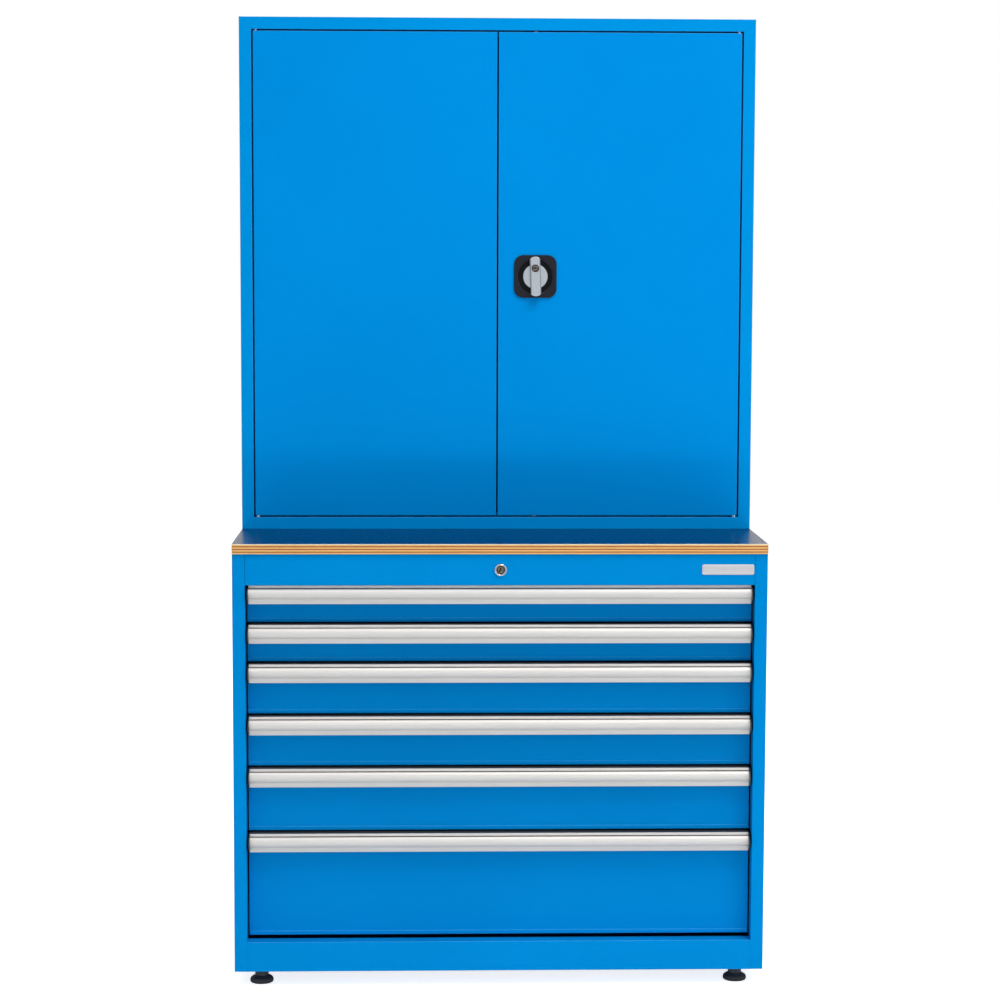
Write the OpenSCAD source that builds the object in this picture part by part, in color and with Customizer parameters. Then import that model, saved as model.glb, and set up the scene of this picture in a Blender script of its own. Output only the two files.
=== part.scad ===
// Tool cabinet with doors: a housing of six drawers on levelling feet, a laminated
// plywood worktop, and a set-back two-door cabinet above it. Front is -Y, floor is z = 0.

/* [Housing] */
// Width over the side panels
cab_w = 1008; // [900:2:1100]
// Depth of the drawer housing, front plane to back
base_d = 736; // [700:2:760]
// Front width of a housing post
post_w = 24; // [20:0.5:30]
// Depth of a housing post, and how far the drawer fronts lie back
post_d = 28; // [25:0.5:32]
// Height of the lock rail over the drawers
rail_h = 59; // [50:1:70]
// Height of the plinth under the drawers
plinth_h = 57; // [45:1:70]
// Sheet thickness of housing and cabinet
sheet = 1.5; // [1:0.1:2]
// Width of the folded rims at the back of the side panels
rim_w = 20; // [14:1:26]
// Radius of the visible outer folds
fold_r = 2; // [1.6:0.1:3]

/* [Drawers] */
// Height step of drawer 1, the top one
step_1 = 75; // [72:1:90]
// Height step of drawer 2
step_2 = 75; // [72:1:90]
// Height step of drawer 3
step_3 = 100; // [72:1:120]
// Height step of drawer 4
step_4 = 100; // [72:1:120]
// Height step of drawer 5
step_5 = 125; // [100:1:150]
// Height step of drawer 6, the bottom one
step_6 = 200; // [150:1:220]
// Gap between a drawer front and the handle under it
front_gap = 3.4; // [2:0.1:5]
// Gap between the lock rail and the top handle
stack_gap = 1.5; // [1:0.1:4]
// Gap between the plinth and the lowest front
plinth_gap = 7.5; // [5:0.5:10]
// Gap beside a drawer front
side_gap = 3; // [2.5:0.1:4]
// Room behind the trays for the locking bar
back_room = 36; // [35:0.5:80]
// Sheet thickness of the trays
tray_t = 1; // [0.8:0.1:1.5]
// Room at each side of a tray for its telescopic slide
slide_w = 20; // [19.5:0.1:22]

/* [Handles] */
// Height of a handle extrusion
handle_h = 35.5; // [33:0.5:38]
// How far the handle's face stands back from the housing front
handle_back = 0; // [0:0.1:1]
// How far the handle's top edge stands back from the housing front
lip_back = 8.6; // [7:0.1:10]
// Wall of the handle extrusion
handle_t = 2; // [1.6:0.1:2.4]
// Thickness of a handle end cap
cap_t = 4.3; // [3:0.1:5]
// How far the end caps stand in front of the housing
proud = 8; // [6:0.5:10]

/* [Feet and worktop] */
// Height of the housing over the floor
foot_h = 30; // [26:1:40]
// Radius of a foot's tread
foot_r = 22.5; // [18:0.5:26]
// Inset of the feet from the panels
foot_in = 49; // [45:1:60]
// Radius of the threaded foot stem
stem_r = 6; // [5:0.5:8]
// Thickness of the plywood board
board_t = 18; // [15:1:25]
// Thickness of the worktop laminate
laminate_t = 1; // [0.8:0.1:1.5]
// Overhang of the worktop in front of the housing
overhang = 3.3; // [2:0.1:5]

/* [Upper cabinet] */
// Height of the upper cabinet
upper_h = 1000; // [900:5:1100]
// Depth of the upper cabinet
upper_d = 470; // [400:5:500]
// Front width of the cabinet's mitred frame
frame_w = 23.5; // [20:0.5:28]
// Depth of the frame behind the front plane
frame_d = 24; // [23.5:0.5:27]
// Gap round the doors
door_gap = 3.5; // [3:0.1:4]
// Gap between the doors
mid_gap = 3.3; // [2.5:0.1:5]
// Sheet thickness of the doors
door_t = 1.2; // [1:0.1:1.5]
// Depth of a door's folded pan
door_d = 22; // [21:0.5:22.5]
// Radius of a hinge pin
pin_r = 3; // [2.5:0.5:3.5]
// Heights of the shelves over the cabinet's underside
shelf_z = [330, 650];
// Height of a shelf's folded edge
shelf_edge = 28; // [20:1:35]

/* [Door lock] */
// Height of the turning handle over the cabinet's underside
grip_z = 499; // [460:1:540]
// Distance of the turning handle from the cabinet's middle
grip_x = 74.4; // [70:0.2:90]
// Side of the square handle plate
plate_w = 83.5; // [80:0.5:90]
// Radius of the dish in the handle plate
dish_r = 35.5; // [34:0.5:38]
// Depth of the dish
dish_d = 11; // [10:0.5:12]
// Length of the grip
grip_l = 77.5; // [70:1:84]
// Width of the grip
grip_w = 20.5; // [18:0.5:24]
// How far the upright grip leans to the left, in degrees
grip_lean = 2; // [0:0.5:5]
// Radius of a lock rod
rod_r = 4; // [3:0.5:4]
// Radius of the crank that drives the rods
crank_r = 9; // [8:0.5:10]

/* [Drawer lock] */
// Radius of the lock cylinder
core_r = 9.2; // [8:0.1:9.4]
// Outer radius of the chrome ring
ring_r = 11.8; // [11:0.1:14]
// Crank radius of the drawer lock
cam_r = 14; // [12:0.5:15]
// Radius of the long lock shaft
shaft_r = 4; // [3:0.5:5]

/* [Hidden] */
$fn = 48;

// Fits
run_fit = 0.05;     // radial play of a shaft or pin that turns or slides in a hole
seam = 0.4;         // open seam between two butted panels
rest_gap = 0.3;     // play between a moving piece and what it hangs or bears on
slot_play = 0.7;    // play of a crank pin across its slot, which also takes up the arc
eps = 1;            // how far a cutter runs past the face it opens

// Colours
blue_frame = [0.01, 0.50, 0.84];
blue_front = [0.0, 0.45, 0.78];
blue_dark = [0.0, 0.26, 0.48];
alu = [0.84, 0.84, 0.85];
zinc = [0.72, 0.73, 0.75];
chrome = [0.85, 0.86, 0.88];
silver = [0.72, 0.72, 0.73];
black = [0.06, 0.06, 0.07];
ply = [0.88, 0.70, 0.44];

// Housing: x from the middle, y from its front plane, z from the floor
half_w = cab_w / 2;
post_x = half_w - post_w;
skin_x = half_w - sheet;
steps = [step_1, step_2, step_3, step_4, step_5, step_6];
function total(v, n) = n <= 0 ? 0 : v[n - 1] + total(v, n - 1);
drawers = len(steps);
base_z = foot_h;
plinth_z = base_z + plinth_h;
stack_z = plinth_z + plinth_gap;
stack_top = stack_z + total(steps, drawers);
rail_z = stack_top + stack_gap;
base_top = rail_z + rail_h;
front_y = -(base_d + proud) / 2 + proud;
seam_x = post_x - seam;
rail_d = 26;                        // depth of the lock rail's lower fold
back_y = base_d - sheet;            // inner face of the back panel

// Worktop and upper cabinet
top_z = base_top + board_t + laminate_t;
set_back = base_d - upper_d;

// Uprights and telescopic slides
upright_d = 30;
upright_y = [post_d + 6, base_d - 96];
tray_x = post_x - slide_w;
tray_y = post_d + sheet;
tray_end = base_d - back_room;
rail_y0 = post_d + 16;              // front end of the fixed slide members
rail_y1 = tray_end - 10;
fixed_h = 22;                       // half height of each slide member
middle_h = 16;
inner_h = 10.5;
member_t = 2;                       // wall of the fixed members
race_t = 1.5;                       // wall of the two moving members
middle_x = post_x - member_t - 2;   // outer face of the middle members
hook = [4.5, 2, 9];                 // hook of a fixed member in an upright's slot
hook_slot = [4, 12];

// Drawers
tray_lift = 8;                      // tray floor over its step's lower edge
tray_under = 23;                    // how much lower than its step a tray is
slide_over = 34;                    // slide centre over its step's lower edge
front_x = post_x - side_gap;
handle_x = front_x - 3;
web_t = 2.5;                        // top web of the handle
web_end = post_d + sheet + 1.5;
leg_t = 2;
leg_h = 20;
function drawer_top(k) = stack_top - total(steps, k - 1);
function drawer_low(k) = drawer_top(k) - steps[k - 1];
function front_low(k) = drawer_low(k) + (k == drawers ? 0 : front_gap);
function slide_z(k) = drawer_low(k) + slide_over;
function tray_h(k) = steps[k - 1] - tray_under;

// Central lock
lock_z = rail_z + rail_h / 2 - 0.5;
cam_a = -45;                        // crank angle with the drawers free
cam_pin_r = 2.5;
bar_lift = 2 * cam_r * sin(-cam_a);
bar_x = 12;
bar_t = 3;
lip_y = tray_end + 14.5;            // keeper lip behind a tray
bar_y = lip_y + 7;
keeper_h = 16;
keeper_w = 15;
hook_arm_w = 8;
hook_top = keeper_h - 3;            // height of a hook's tip over the lip's lower edge
bracket_y = tray_end + 1.5;
guide_y = bar_y - 2;

// Doors
open_x = half_w - frame_w;
open_z = [frame_w, upper_h - frame_w];
stop_w = 10;
door_x0 = mid_gap / 2;
door_x1 = open_x - door_gap;
door_z = [open_z[0] + door_gap, open_z[1] - door_gap];
pivot_in = 5;
pivot_x = door_x1 - pivot_in;
pivot_y = 6;
pin_head_r = pin_r + 1.2;
rod_y = 16;
rod_tip = door_gap - 0.4;           // rod end over the door edge, just short of the frame
door_crank_a = -45;
crank_pin_r = 2;
cam_disc_r = 13;
plate_t = 3;
dish_t = 1.5;
spindle_r = 6;
grip_y = [-plate_t - 10, -plate_t - 2 * rest_gap];
grip_end_r = 14;
cam_y = [dish_d + 2, dish_d + 4];
link_y = [dish_d + 6, dish_d + 9];  // plates of the rods behind the cam
stiff_w = 60;
fix_hole_r = 4.5;
fix_hole_x = 400;
fix_hole_z = upper_h - 49;

// Feet
foot_x = half_w - foot_in;
foot_y = [40, base_d - 40];
nut_r = 11;
nut_h = 12;

// Bolts between the upper cabinet and the worktop
bolt_r = 4;
bolt_x = 420;
bolt_y = [set_back + 60, base_d - 60];

// Placement and small helpers
module in_base() translate([0, front_y, 0]) children();
module in_upper() translate([0, front_y + set_back, top_z]) children();
module block(a, b) translate(a) cube(b - a);
module both_sides() { children(); mirror([1, 0, 0]) children(); }
module side(left) { if (left) mirror([1, 0, 0]) children(); else children(); }
// Extrudes an (x, z) outline from y0 to y1
module along_y(y0, y1) translate([0, y1, 0]) rotate([90, 0, 0]) linear_extrude(y1 - y0) children();
// Extrudes a (y, z) outline from x0 to x1
module along_x(x0, x1) translate([x0, 0, 0]) rotate([90, 0, 90]) linear_extrude(x1 - x0) children();
module rod_along_y(x, z, r, y0, y1) translate([x, y1, z]) rotate([90, 0, 0]) cylinder(r = r, h = y1 - y0);
module rod_along_z(x, y, r, z0, z1) translate([x, y, z0]) cylinder(r = r, h = z1 - z0);
function arc(c, r, a0, a1, n) = [for (i = [0:n]) c + r * [cos(a0 + (a1 - a0) * i / n),
    sin(a0 + (a1 - a0) * i / n)]];

// ---- Drawer housing ----

// Plan of the right side panel: post, skin and rear rim, bent from one sheet
module base_side_plan() {
    polygon(concat(
        [[post_x, post_d], [post_x, 0]],
        arc([half_w - fold_r, fold_r], fold_r, -90, 0, 4),
        [[half_w, base_d], [skin_x, base_d], [skin_x, back_y], [skin_x - rim_w, back_y],
         [skin_x - rim_w, back_y - sheet], [skin_x, back_y - sheet], [skin_x, sheet],
         [post_x + sheet, sheet], [post_x + sheet, post_d - sheet], [post_x + 8, post_d - sheet],
         [post_x + 8, post_d]]));
}

module base_side(left) {
    color(blue_frame) in_base() side(left) {
        translate([0, 0, base_z]) linear_extrude(base_top - base_z) base_side_plan();
        block([skin_x - rim_w, post_d, base_top - sheet], [skin_x + sheet / 2, back_y - sheet, base_top]);
    }
}

module base_back_panel() {
    color(blue_frame) in_base() {
        block([-skin_x, back_y, base_z], [skin_x, base_d, base_top]);
        // Top fold and the shaft bracket that hangs from it
        block([-skin_x + rim_w, bracket_y, base_top - sheet], [skin_x - rim_w, back_y + sheet / 2, base_top]);
        difference() {
            block([-20, bracket_y, lock_z - 12], [20, bracket_y + 2, base_top - sheet / 2]);
            rod_along_y(0, lock_z, shaft_r + run_fit, bracket_y - eps, bracket_y + 2 + eps);
        }
        // Guides of the locking bar
        for (z = [plinth_z + 20, lock_z - 50])
            difference() {
                block([-bar_x - 6, guide_y, z - 8], [bar_x + 6, back_y + sheet / 2, z + 8]);
                block([-bar_x - rest_gap, bar_y - rest_gap, z - 8 - eps],
                      [bar_x + rest_gap, bar_y + bar_t + rest_gap, z + 8 + eps]);
            }
    }
}

module base_floor_pan() {
    color(blue_frame) in_base() difference() {
        union() {
            // Plinth, folded to a box section
            along_x(-post_x, post_x) difference() {
                translate([0, base_z]) square([post_d, plinth_h]);
                translate([sheet, base_z + sheet]) square([post_d - 2 * sheet, plinth_h - 2 * sheet]);
            }
            block([-skin_x, post_d - sheet / 2, base_z], [skin_x, back_y - sheet, base_z + sheet]);
            block([-skin_x + rim_w, back_y - 2 * sheet, base_z], [skin_x - rim_w, back_y, base_z + rim_w]);
        }
        // The corners beside the plinth are notched for the posts
        both_sides() block([post_x, 0, base_z - eps], [half_w, post_d, plinth_z]);
        for (x = [-foot_x, foot_x], y = foot_y)
            rod_along_z(x, y, stem_r + 1, base_z - eps, base_z + sheet + eps);
    }
}

module base_top_rail() {
    color(blue_frame) in_base() difference() {
        along_x(-seam_x, seam_x) polygon([[0, rail_z], [0, base_top], [2 * post_d, base_top],
            [2 * post_d, base_top - sheet], [sheet, base_top - sheet], [sheet, rail_z + sheet],
            [rail_d - sheet, rail_z + sheet], [rail_d - sheet, rail_z + 12], [rail_d, rail_z + 12],
            [rail_d, rail_z]]);
        rod_along_y(0, lock_z, core_r + 1.5 + seam, -eps, sheet + eps);
    }
}

// Plan of one upright: a channel open towards the side panel
module upright_plan(y) {
    polygon([[post_x, y], [skin_x, y], [skin_x, y + sheet], [post_x + sheet, y + sheet],
        [post_x + sheet, y + upright_d - sheet], [skin_x, y + upright_d - sheet],
        [skin_x, y + upright_d], [post_x, y + upright_d]]);
}

module slotted_uprights() {
    color(zinc) in_base() both_sides() for (y = upright_y) difference() {
        translate([0, 0, base_z + sheet]) linear_extrude(base_top - base_z - 2 * sheet) upright_plan(y);
        for (k = [1 : drawers], dz = [-12, 12])
            translate([post_x, y + upright_d / 2, slide_z(k) + dz])
                cube([4 * sheet, hook_slot[0], hook_slot[1]], center = true);
    }
}

// Section of a slide member: a web and two flanges, in (x, z) about the slide's centre line
module channel(web_out, web_in, tip, half_h, wall) {
    polygon([[web_out, -half_h], [web_out, half_h], [tip, half_h], [tip, half_h - wall],
        [web_in, half_h - wall], [web_in, -half_h + wall], [tip, -half_h + wall], [tip, -half_h]]);
}

module drawer_rails() {
    color(zinc) in_base() for (k = [1 : drawers]) both_sides() translate([0, 0, slide_z(k)]) {
        along_y(rail_y0, rail_y1)
            channel(post_x, post_x - member_t, tray_x + 4, fixed_h, member_t);
        for (y = upright_y, dz = [-12, 12])
            translate([post_x + hook[0] / 2 - 0.5, y + upright_d / 2, dz])
                cube([hook[0] + 1, hook[1], hook[2]], center = true);
    }
}

// Holes of the bolts that come down from the upper cabinet
module bolt_holes(z0, z1) {
    for (x = [-bolt_x, bolt_x], y = bolt_y) rod_along_z(x, y, bolt_r + rest_gap, z0 - eps, z1 + eps);
}

module worktop_board() {
    color(ply) in_base() difference() {
        block([-half_w, -overhang, base_top], [half_w, base_d, base_top + board_t]);
        bolt_holes(base_top, base_top + board_t);
    }
}

module worktop_laminate() {
    color(blue_dark) in_base() difference() {
        block([-half_w, -overhang, base_top + board_t], [half_w, base_d, top_z]);
        bolt_holes(base_top + board_t, top_z);
    }
}

// ---- Fasteners ----

module hex_nut(x, y, z, bore) {
    translate([x, y, z]) difference() {
        cylinder(r = nut_r, h = nut_h, $fn = 6);
        translate([0, 0, -eps]) cylinder(r = bore, h = nut_h + 2 * eps);
    }
}

// Bolt that holds the upper cabinet down, with its nut under the worktop
module deck_bolt(x, y) {
    translate([x, y, 0]) {
        translate([0, 0, top_z + sheet]) cylinder(r = 6.5, h = 5, $fn = 6);
        translate([0, 0, base_top - 9]) cylinder(r = bolt_r, h = top_z + sheet + 1 - base_top + 9);
        translate([0, 0, base_top - 6.5]) cylinder(r = 7, h = 6.5, $fn = 6);
    }
}

module shelf_clip(z, y) {
    block([skin_x - 12, y - 8, z - 8], [skin_x, y + 8, z]);
}

module fasteners() {
    color(zinc) {
        in_base() for (x = [-foot_x, foot_x], y = foot_y)
            hex_nut(x, y, base_z + sheet, stem_r + run_fit);
        in_base() for (x = [-bolt_x, bolt_x], y = bolt_y) deck_bolt(x, y);
        in_upper() both_sides() for (z = shelf_z, y = [90, upper_d - 90])
            shelf_clip(z - shelf_edge, y);
    }
}

// ---- Central drawer lock ----

module lock_ring() {
    color(chrome) in_base() difference() {
        union() {
            rod_along_y(0, lock_z, ring_r, -3, 0);
            rod_along_y(0, lock_z, core_r + 1.5, -1, rail_d - sheet - 1);
        }
        rod_along_y(0, lock_z, core_r + run_fit, -3 - eps, rail_d);
    }
}

module drawer_lock() {
    color(chrome) in_base() {
        difference() {
            rod_along_y(0, lock_z, core_r, -2.6, rail_d + 2);
            block([-1, -3, lock_z - 4], [1, 4, lock_z + 4]);
        }
        rod_along_y(0, lock_z, shaft_r, rail_d, bar_y - 2);
        // Crank at the far end, with its pin in the bar's slot
        translate([0, 0, lock_z]) rotate([0, -cam_a, 0]) {
            block([0, bar_y - 5, -4], [cam_r, bar_y - 2, 4]);
            rod_along_y(cam_r, 0, 4, bar_y - 5, bar_y - 2);
            rod_along_y(cam_r, 0, cam_pin_r, bar_y - 4, bar_y + bar_t + 2);
        }
    }
}

function keeper_z(k) = drawer_low(k) + tray_lift + tray_h(k) - 6 - keeper_h;

module locking_bar() {
    slot_z = lock_z + cam_r * sin(cam_a);
    slot_x = [cam_r * cos(cam_a) - cam_pin_r - 1.5, cam_r + cam_pin_r + 1.5];
    color(zinc) in_base() {
        block([-bar_x, bar_y, plinth_z + 5], [bar_x, bar_y + bar_t, slot_z - 10]);
        // Head with the crank's slot
        difference() {
            block([-bar_x, bar_y, slot_z - 11], [slot_x[1] + 4, bar_y + bar_t, slot_z + 7]);
            block([slot_x[0], bar_y - eps, slot_z - cam_pin_r - slot_play],
                  [slot_x[1], bar_y + bar_t + eps, slot_z + cam_pin_r + slot_play]);
        }
        // Hooks, low enough at rest for the keepers to pass over them
        for (k = [1 : drawers])
            translate([0, 0, keeper_z(k) - 1 - bar_lift]) {
                block([-hook_arm_w, lip_y - 8, -3], [hook_arm_w, bar_y + bar_t / 2, 0]);
                block([-hook_arm_w, lip_y - 8, -3], [hook_arm_w, lip_y - 5, hook_top]);
            }
    }
}

// ---- Feet ----

module foot(x, y) {
    color(black) in_base() translate([x, y, 0]) {
        rotate_extrude() polygon([[0, 0], [foot_r, 0], [foot_r, 6], [13, 16], [13, foot_h - 0.5],
            [0, foot_h - 0.5]]);
        cylinder(r = stem_r, h = foot_h + sheet + nut_h + 4);
    }
}

// ---- Upper cabinet: x from the middle, y from its front plane, z from its underside ----

// Plan of the right side: frame stile with door stop, skin and rear rim
module cabinet_side_plan() {
    polygon(concat(
        [[open_x, 0]],
        arc([half_w - fold_r, fold_r], fold_r, -90, 0, 4),
        [[half_w, upper_d], [skin_x, upper_d], [skin_x, upper_d - sheet],
         [skin_x - rim_w, upper_d - sheet], [skin_x - rim_w, upper_d - 2 * sheet],
         [skin_x, upper_d - 2 * sheet], [skin_x, sheet], [open_x + sheet, sheet],
         [open_x + sheet, frame_d + sheet], [open_x - stop_w, frame_d + sheet],
         [open_x - stop_w, frame_d], [open_x, frame_d]]));
}

// Outline, from the front, of what belongs to the right side once the corners are mitred
module side_share() {
    reach = frame_w + stop_w;
    polygon([[half_w, 0], [half_w, upper_h], [skin_x, upper_h], [skin_x, upper_h - sheet],
        [half_w - reach, upper_h - reach], [half_w - reach, reach], [skin_x, sheet], [skin_x, 0]]);
}

module cabinet_side(left) {
    color(blue_frame) in_upper() side(left) intersection() {
        linear_extrude(upper_h) cabinet_side_plan();
        along_y(-eps, upper_d + eps) side_share();
    }
}

// Section of the top: frame rail with door stop, and the sheet behind it
module cabinet_top_section() {
    polygon([[0, open_z[1]], [0, upper_h], [upper_d - sheet, upper_h], [upper_d - sheet, upper_h - sheet],
        [sheet, upper_h - sheet], [sheet, open_z[1] + sheet], [frame_d + sheet, open_z[1] + sheet],
        [frame_d + sheet, open_z[1] - stop_w], [frame_d, open_z[1] - stop_w], [frame_d, open_z[1]]]);
}

module top_share() {
    reach = frame_w + stop_w;
    polygon([[-skin_x, upper_h], [skin_x, upper_h], [skin_x, upper_h - sheet],
        [half_w - reach, upper_h - reach], [-half_w + reach, upper_h - reach],
        [-skin_x, upper_h - sheet]]);
}

// Top of the cabinet in its own place, with the holes for the hinge pins and the lock rod
module cabinet_end() {
    difference() {
        intersection() {
            along_x(-skin_x, skin_x) cabinet_top_section();
            along_y(-eps, upper_d + eps) top_share();
        }
        for (x = [-pivot_x, pivot_x])
            rod_along_z(x, pivot_y, pin_r + run_fit, open_z[1] - eps, open_z[1] + sheet + eps);
        rod_along_z(grip_x, rod_y, rod_r + slot_play, open_z[1] - eps, open_z[1] + sheet + eps);
    }
}

module cabinet_top() {
    color(blue_frame) in_upper() cabinet_end();
}

module cabinet_bottom() {
    color(blue_frame) difference() {
        in_upper() translate([0, 0, upper_h]) mirror([0, 0, 1]) cabinet_end();
        in_base() bolt_holes(top_z, top_z + sheet);
    }
}

module cabinet_back() {
    color(blue_frame) in_upper() difference() {
        block([-skin_x, upper_d - sheet, 0], [skin_x, upper_d, upper_h]);
        for (x = [-fix_hole_x, fix_hole_x])
            rod_along_y(x, fix_hole_z, fix_hole_r, upper_d - sheet - eps, upper_d + eps);
    }
}

module shelves() {
    gap = 1.5;
    y0 = frame_d + 16;
    y1 = upper_d - 2 * sheet - 5;
    color(blue_frame) in_upper() for (z = shelf_z) difference() {
        block([-skin_x + gap, y0, z - shelf_edge], [skin_x - gap, y1, z]);
        block([-skin_x + gap + sheet, y0 + sheet, z - shelf_edge - eps],
              [skin_x - gap - sheet, y1 - sheet, z - sheet]);
    }
}

module hinge_pins() {
    color(zinc) in_upper() for (x = [-pivot_x, pivot_x]) {
        // Top pin, hung by its head from the frame
        rod_along_z(x, pivot_y, pin_r, door_z[1] - 9, open_z[1] + sheet + 2);
        rod_along_z(x, pivot_y, pin_head_r, open_z[1] + sheet, open_z[1] + sheet + 2.5);
        // Bottom pin, with the collar that carries the door
        rod_along_z(x, pivot_y, pin_r, open_z[0] - sheet - 2, door_z[0] + 9);
        rod_along_z(x, pivot_y, pin_head_r, open_z[0], door_z[0] - rest_gap);
    }
}

// ---- Doors ----

// Right-hand door: a flush pan folded back on four sides, its rims turned in
module door_pan() {
    rim = 12;
    difference() {
        block([door_x0, 0, door_z[0]], [door_x1, door_d, door_z[1]]);
        block([door_x0 + door_t, door_t, door_z[0] + door_t], [door_x1 - door_t, door_d - door_t,
              door_z[1] - door_t]);
        block([door_x0 + rim, door_t, door_z[0] + rim], [door_x1 - rim, door_d + eps, door_z[1] - rim]);
        for (z = [door_z[0] - eps, door_z[1] - door_t - eps])
            rod_along_z(pivot_x, pivot_y, pin_r + run_fit, z, z + door_t + 2 * eps);
    }
    // Sleeves that turn on the hinge pins
    for (z = [door_z[0], door_z[1] - 10])
        translate([pivot_x, pivot_y, z]) difference() {
            cylinder(r = pin_r + 1.5, h = 10);
            translate([0, 0, -eps]) cylinder(r = pin_r + run_fit, h = 10 + 2 * eps);
        }
}

// Hat-section stiffener behind the middle of a door
module door_stiffener(x) {
    y1 = door_d - door_t;
    translate([0, 0, door_z[0] + door_t]) linear_extrude(door_z[1] - door_z[0] - 2 * door_t)
        polygon([[x, door_t], [x + door_t, door_t], [x + door_t, y1 - door_t],
            [x + stiff_w - door_t, y1 - door_t], [x + stiff_w - door_t, door_t], [x + stiff_w, door_t],
            [x + stiff_w, y1], [x, y1]]);
}

module door_left() {
    color(blue_front) in_upper() mirror([1, 0, 0]) {
        door_pan();
        door_stiffener((door_x0 + door_x1) / 2);
    }
}

module door_right() {
    color(blue_front) in_upper() {
        difference() {
            door_pan();
            rod_along_y(grip_x, grip_z, dish_r + dish_t + seam, -eps, door_t + eps);
            for (z = [door_z[0] - eps, door_z[1] - door_t - eps])
                rod_along_z(grip_x, rod_y, rod_r + run_fit, z, z + door_t + 2 * eps);
        }
        door_stiffener((door_x0 + door_x1) / 2);
    }
}

// ---- Door lock ----

module handle_plate() {
    corner = 18;
    c = plate_w / 2 - corner;
    color(black) in_upper() translate([grip_x, 0, grip_z]) difference() {
        union() {
            along_y(-plate_t, 0) {
                for (x = [-c, c], z = [-c, c]) translate([x, z]) circle(r = corner);
                square([plate_w, 2 * c], center = true);
                square([2 * c, plate_w], center = true);
            }
            rod_along_y(0, 0, dish_r + dish_t, -1, dish_d + dish_t - 1);
        }
        rod_along_y(0, 0, dish_r, -plate_t - eps, dish_d - 1);
        rod_along_y(0, 0, spindle_r + run_fit, dish_d - 2, dish_d + dish_t);
    }
}

// Bar of the grip: bevelled along its front edges and rounded at both ends
module grip_bar() {
    half = grip_w / 2;
    bevel = 2;
    end = grip_l / 2 - grip_end_r;
    intersection() {
        along_y(grip_y[0], grip_y[1]) {
            for (z = [-end, end]) translate([0, z]) circle(r = grip_end_r);
            square([grip_w, 2 * end], center = true);
        }
        translate([0, 0, -grip_l / 2]) linear_extrude(grip_l)
            polygon([[-half, grip_y[1]], [-half, grip_y[0] + bevel], [bevel - half, grip_y[0]],
                     [half - bevel, grip_y[0]], [half, grip_y[0] + bevel], [half, grip_y[1]]]);
    }
}

module turn_handle() {
    disc_r = 24;
    key_z = 16;
    key_r = 7.4;
    key_depth = grip_y[0] + 8;
    color(silver) in_upper() translate([grip_x, 0, grip_z]) {
        rotate([0, -grip_lean, 0]) {
            difference() {
                union() {
                    rod_along_y(0, 0, disc_r, grip_y[1] - 1, dish_d - 1 - rest_gap);
                    grip_bar();
                }
                rod_along_y(0, key_z, key_r + 0.2, grip_y[0] - eps, key_depth);
            }
            // Key cylinder, seated in the grip
            difference() {
                rod_along_y(0, key_z, key_r, grip_y[0] + 1, key_depth);
                block([-0.8, grip_y[0], key_z - 3.5], [0.8, grip_y[0] + 3, key_z + 3.5]);
            }
        }
        // Spindle, cam disc and the two crank pins
        rod_along_y(0, 0, spindle_r, dish_d - 2, cam_y[1] - 0.5);
        rod_along_y(0, 0, cam_disc_r, cam_y[0], cam_y[1]);
        for (a = [door_crank_a, door_crank_a + 180])
            rod_along_y(crank_r * cos(a), crank_r * sin(a), crank_pin_r, cam_y[1] - 0.5, link_y[1] + 1);
    }
}

// Upper lock rod about the handle's middle: link plate with a crosswise slot, neck and round rod
module lock_rod(tip_z) {
    z_pin = crank_r * sin(door_crank_a);
    slot = [crank_r * cos(door_crank_a) - crank_pin_r - 1.2, crank_r + crank_pin_r + 1.2];
    neck_z = 14;
    difference() {
        block([1.5, link_y[0], z_pin - 6], [slot[1] + 3, link_y[1], neck_z + 4]);
        block([slot[0], link_y[0] - eps, z_pin - crank_pin_r - slot_play / 2],
              [slot[1], link_y[1] + eps, z_pin + crank_pin_r + slot_play / 2]);
    }
    block([-rod_r, link_y[0], neck_z], [slot[1] + 3, link_y[1], neck_z + 12]);
    rod_along_z(0, rod_y, rod_r, neck_z + 4, tip_z);
}

module rod_top() {
    color(zinc) in_upper() translate([grip_x, 0, grip_z]) lock_rod(door_z[1] + rod_tip - grip_z);
}

module rod_bottom() {
    color(zinc) in_upper() translate([grip_x, 0, grip_z])
        rotate([0, 180, 0]) lock_rod(grip_z - door_z[0] + rod_tip);
}

// ---- Drawers: k = 1 at the top ----

// Front sheet: flat, with a hem strip bent a little outwards along its lower edge
module drawer_front(k) {
    z0 = front_low(k);
    z1 = drawer_top(k) - web_t;
    strip = 6.5;
    out = 1;
    along_x(-front_x, front_x) polygon([[post_d, z1], [post_d, z0 + strip + out], [post_d - out, z0 + strip],
        [post_d - out, z0], [post_d + 8, z0], [post_d + 8, z0 + sheet], [post_d - out + sheet, z0 + sheet],
        [post_d - out + sheet, z0 + strip], [post_d + sheet, z0 + strip + out], [post_d + sheet, z1]]);
    both_sides() block([front_x - sheet, post_d + sheet / 2, z0 + strip + out], [front_x, post_d + 12, z1]);
}

module drawer_tray(k) {
    z0 = drawer_low(k) + tray_lift;
    z1 = z0 + tray_h(k);
    lip = 8;
    difference() {
        block([-tray_x, tray_y - sheet / 2, z0], [tray_x, tray_end, z1]);
        block([-tray_x + tray_t, tray_y + tray_t, z0 + tray_t], [tray_x - tray_t, tray_end - tray_t,
              z1 - tray_t]);
        block([-tray_x + lip, tray_y + tray_t, z1 - 2 * tray_t], [tray_x - lip, tray_end - lip, z1 + eps]);
    }
    // Keeper at the back, over the central lock's hook
    block([-keeper_w, tray_end - tray_t / 2, z1 - 6], [keeper_w, lip_y + sheet, z1 - 6 + sheet]);
    block([-keeper_w, lip_y, keeper_z(k)], [keeper_w, lip_y + sheet, z1 - 6 + sheet]);
}

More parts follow.
